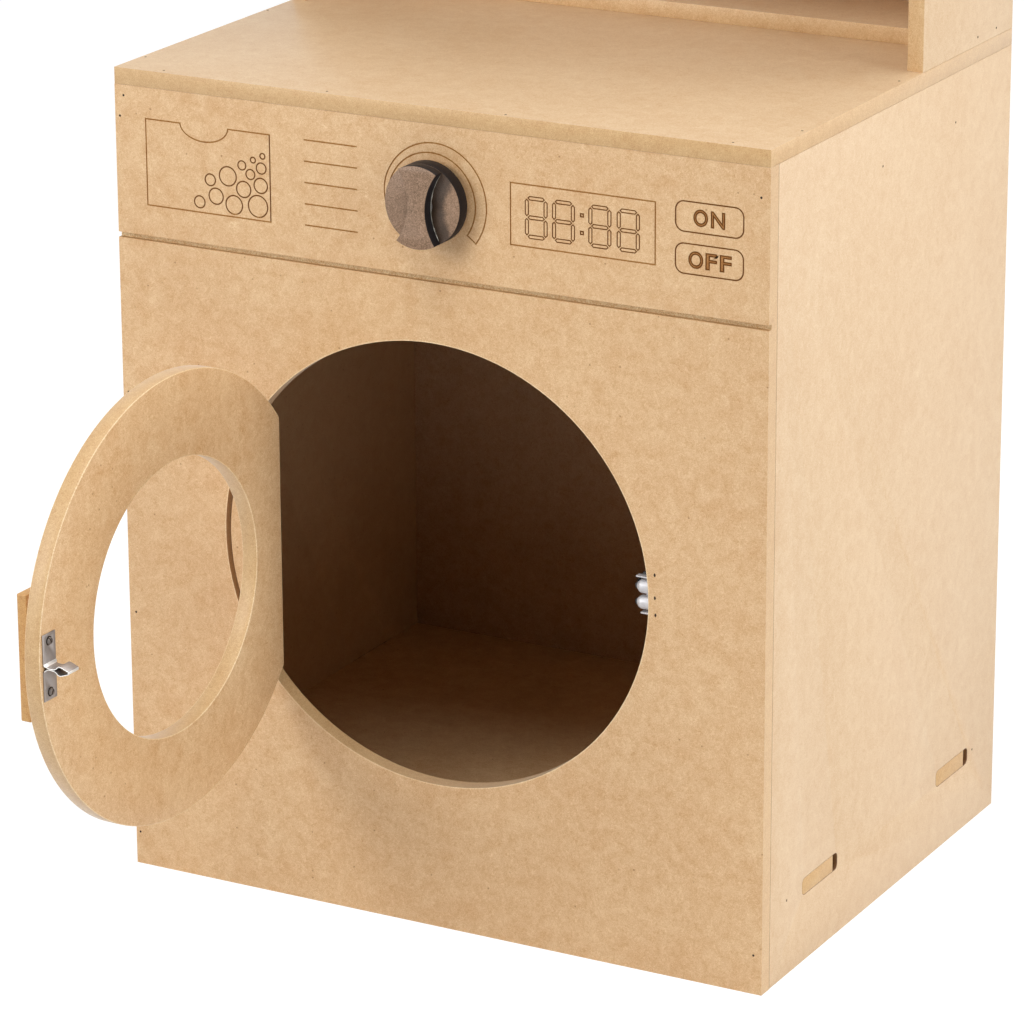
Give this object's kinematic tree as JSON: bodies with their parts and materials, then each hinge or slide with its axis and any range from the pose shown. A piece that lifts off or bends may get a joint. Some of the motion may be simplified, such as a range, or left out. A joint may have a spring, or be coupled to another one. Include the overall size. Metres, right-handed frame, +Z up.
{
  "type": "toy washing machine",
  "caption": "Toy washing machine of bare fibreboard with a hinged porthole door, roller catch, turning dial, engraved control strip and an open shelf unit on top.",
  "frame": {"origin": "middle of the front panel's bottom edge, on its front face", "axes": "+X to the right seen from the front, +Y from the front to the back, +Z up"},
  "size_m": [0.42, 0.5782, 0.795],
  "materials": {
    "fibreboard": "raw",
    "fibreboard_inner": "raw",
    "hardboard": "raw",
    "steel": "satin",
    "zinc_plated": "satin",
    "knob_wood": "charred edges, stained face",
    "brad_steel": "dull"
  },
  "bodies": {
    "cabinet": {"front_panel": "fibreboard", "left_side": "fibreboard", "right_side": "fibreboard", "top_panel": "fibreboard", "floor_panel": "fibreboard_inner", "back_panel": "hardboard", "stretcher": "fibreboard_inner", "rear_rail": "fibreboard_inner", "hinge_segment": "fibreboard", "hinge_batten": "fibreboard_inner", "catch_block": "fibreboard_inner", "catch_housing": "zinc_plated", "catch_screws": "steel", "fixed_leaves": "steel", "hinge_pins": "steel", "fixed_leaf_screws": "steel", "knob_spacer": "fibreboard_inner", "front_brads": "brad_steel", "top_brads": "brad_steel", "side_brads": "brad_steel", "back_brads": "brad_steel", "catch_brads": "brad_steel", "hutch_left_side": "fibreboard", "hutch_right_side": "fibreboard", "hutch_bottom": "fibreboard", "hutch_shelf": "fibreboard", "hutch_top": "fibreboard", "hutch_back": "hardboard", "hutch_brads": "brad_steel"},
    "door": {"door_ring": "fibreboard", "handle_bar": "fibreboard", "handle_spacer": "fibreboard_inner", "strike_plate": "steel", "strike_screws": "steel", "door_leaves": "steel", "door_leaf_screws": "steel"},
    "knob": {"knob_base": "knob_wood", "knob_ridge": "knob_wood", "knob_bolt": "steel", "knob_washer": "steel", "knob_nut": "steel"},
    "upper_arm": {"upper_spring_arm": "zinc_plated"},
    "lower_arm": {"lower_spring_arm": "zinc_plated"},
    "upper_roller_body": {"upper_roller": "zinc_plated"},
    "lower_roller_body": {"lower_roller": "zinc_plated"}
  },
  "joints": [
    {"name": "door_swing", "type": "hinge", "parent": "cabinet", "child": "door", "pos_m": [-0.113, -0.0014, 0.2235], "axis": [0, 0, 1], "range_deg": [-84, 91]},
    {"name": "knob_turn", "type": "hinge", "parent": "cabinet", "child": "knob", "pos_m": [0.0005, 0, 0.4412], "axis": [0, -1, 0], "continuous": true},
    {"name": "upper_arm_spring", "type": "hinge", "parent": "cabinet", "child": "upper_arm", "pos_m": [0.1279, 0.0243, 0.23235], "axis": [-1, 0, 0], "range_deg": [0, 8], "stiffness_Nm_per_rad": 0.5},
    {"name": "lower_arm_spring", "type": "hinge", "parent": "cabinet", "child": "lower_arm", "pos_m": [0.1279, 0.0243, 0.21465], "axis": [1, 0, 0], "range_deg": [0, 8], "stiffness_Nm_per_rad": 0.5},
    {"name": "upper_roller_spin", "type": "hinge", "parent": "upper_arm", "child": "upper_roller_body", "pos_m": [0.1279, 0.0153, 0.22825], "axis": [1, 0, 0], "continuous": true},
    {"name": "lower_roller_spin", "type": "hinge", "parent": "lower_arm", "child": "lower_roller_body", "pos_m": [0.1279, 0.0153, 0.21875], "axis": [1, 0, 0], "continuous": true}
  ]
}
